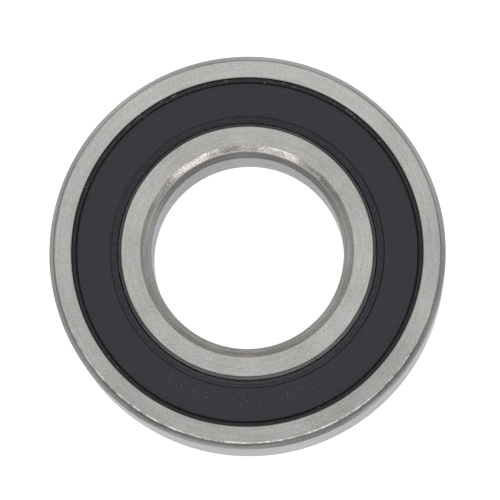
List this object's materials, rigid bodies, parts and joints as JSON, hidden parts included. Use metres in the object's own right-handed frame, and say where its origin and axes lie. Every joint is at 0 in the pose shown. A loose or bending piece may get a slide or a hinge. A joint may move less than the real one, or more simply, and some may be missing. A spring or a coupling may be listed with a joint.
{
  "type": "ball bearing",
  "caption": "Deep-groove ball bearing: outer and inner steel rings, caged balls, and a rubber contact seal on each side.",
  "frame": {"origin": "centre of the bearing, on the shaft axis and halfway through the width", "axes": "+Z along the shaft axis; the bearing lies flat, and X and Y lie in its mid-plane"},
  "size_m": [0.072, 0.072, 0.017],
  "materials": {
    "ring_steel": "ground, with fine turning marks",
    "ball_steel": "lapped and polished",
    "cage_steel": "cold-pressed sheet",
    "rivet_steel": "headed wire",
    "insert_steel": "phosphated sheet",
    "seal_rubber": "matte moulded"
  },
  "bodies": {
    "outer_ring": {"outer_ring": "ring_steel", "seal_rubber_top": "seal_rubber", "seal_rubber_bottom": "seal_rubber", "seal_insert_top": "insert_steel", "seal_insert_bottom": "insert_steel"},
    "inner_ring": {"inner_ring": "ring_steel"},
    "cage": {"cage_half_top": "cage_steel", "cage_half_bottom": "cage_steel", "rivet_1": "rivet_steel", "rivet_2": "rivet_steel", "rivet_3": "rivet_steel", "rivet_4": "rivet_steel", "rivet_5": "rivet_steel", "rivet_6": "rivet_steel", "rivet_7": "rivet_steel", "rivet_8": "rivet_steel", "rivet_9": "rivet_steel"},
    "ball_1": {"ball_1": "ball_steel"},
    "ball_2": {"ball_2": "ball_steel"},
    "ball_3": {"ball_3": "ball_steel"},
    "ball_4": {"ball_4": "ball_steel"},
    "ball_5": {"ball_5": "ball_steel"},
    "ball_6": {"ball_6": "ball_steel"},
    "ball_7": {"ball_7": "ball_steel"},
    "ball_8": {"ball_8": "ball_steel"},
    "ball_9": {"ball_9": "ball_steel"}
  },
  "joints": [
    {"name": "inner_ring_spin", "type": "hinge", "parent": "outer_ring", "child": "inner_ring", "pos_m": [0, 0, 0], "axis": [0, 0, 1], "continuous": true},
    {"name": "cage_spin", "type": "hinge", "parent": "outer_ring", "child": "cage", "pos_m": [0, 0, 0], "axis": [0, 0, 1], "continuous": true},
    {"name": "ball_1_spin", "type": "hinge", "parent": "cage", "child": "ball_1", "pos_m": [0.02675, 0, 0], "axis": [0, 0, 1], "continuous": true},
    {"name": "ball_2_spin", "type": "hinge", "parent": "cage", "child": "ball_2", "pos_m": [0.02049, 0.01719, 0], "axis": [0, 0, 1], "continuous": true},
    {"name": "ball_3_spin", "type": "hinge", "parent": "cage", "child": "ball_3", "pos_m": [0.00465, 0.02634, 0], "axis": [0, 0, 1], "continuous": true},
    {"name": "ball_4_spin", "type": "hinge", "parent": "cage", "child": "ball_4", "pos_m": [-0.01337, 0.02317, 0], "axis": [0, 0, 1], "continuous": true},
    {"name": "ball_5_spin", "type": "hinge", "parent": "cage", "child": "ball_5", "pos_m": [-0.02514, 0.00915, 0], "axis": [0, 0, 1], "continuous": true},
    {"name": "ball_6_spin", "type": "hinge", "parent": "cage", "child": "ball_6", "pos_m": [-0.02514, -0.00915, 0], "axis": [0, 0, 1], "continuous": true},
    {"name": "ball_7_spin", "type": "hinge", "parent": "cage", "child": "ball_7", "pos_m": [-0.01337, -0.02317, 0], "axis": [0, 0, 1], "continuous": true},
    {"name": "ball_8_spin", "type": "hinge", "parent": "cage", "child": "ball_8", "pos_m": [0.00465, -0.02634, 0], "axis": [0, 0, 1], "continuous": true},
    {"name": "ball_9_spin", "type": "hinge", "parent": "cage", "child": "ball_9", "pos_m": [0.02049, -0.01719, 0], "axis": [0, 0, 1], "continuous": true}
  ],
  "couplings": [
    {"joint": "cage_spin", "follows": "inner_ring_spin", "ratio": 0.39615},
    {"joint": "ball_1_spin", "follows": "inner_ring_spin", "ratio": -2.3035},
    {"joint": "ball_2_spin", "follows": "inner_ring_spin", "ratio": -2.3035},
    {"joint": "ball_3_spin", "follows": "inner_ring_spin", "ratio": -2.3035},
    {"joint": "ball_4_spin", "follows": "inner_ring_spin", "ratio": -2.3035},
    {"joint": "ball_5_spin", "follows": "inner_ring_spin", "ratio": -2.3035},
    {"joint": "ball_6_spin", "follows": "inner_ring_spin", "ratio": -2.3035},
    {"joint": "ball_7_spin", "follows": "inner_ring_spin", "ratio": -2.3035},
    {"joint": "ball_8_spin", "follows": "inner_ring_spin", "ratio": -2.3035},
    {"joint": "ball_9_spin", "follows": "inner_ring_spin", "ratio": -2.3035}
  ]
}
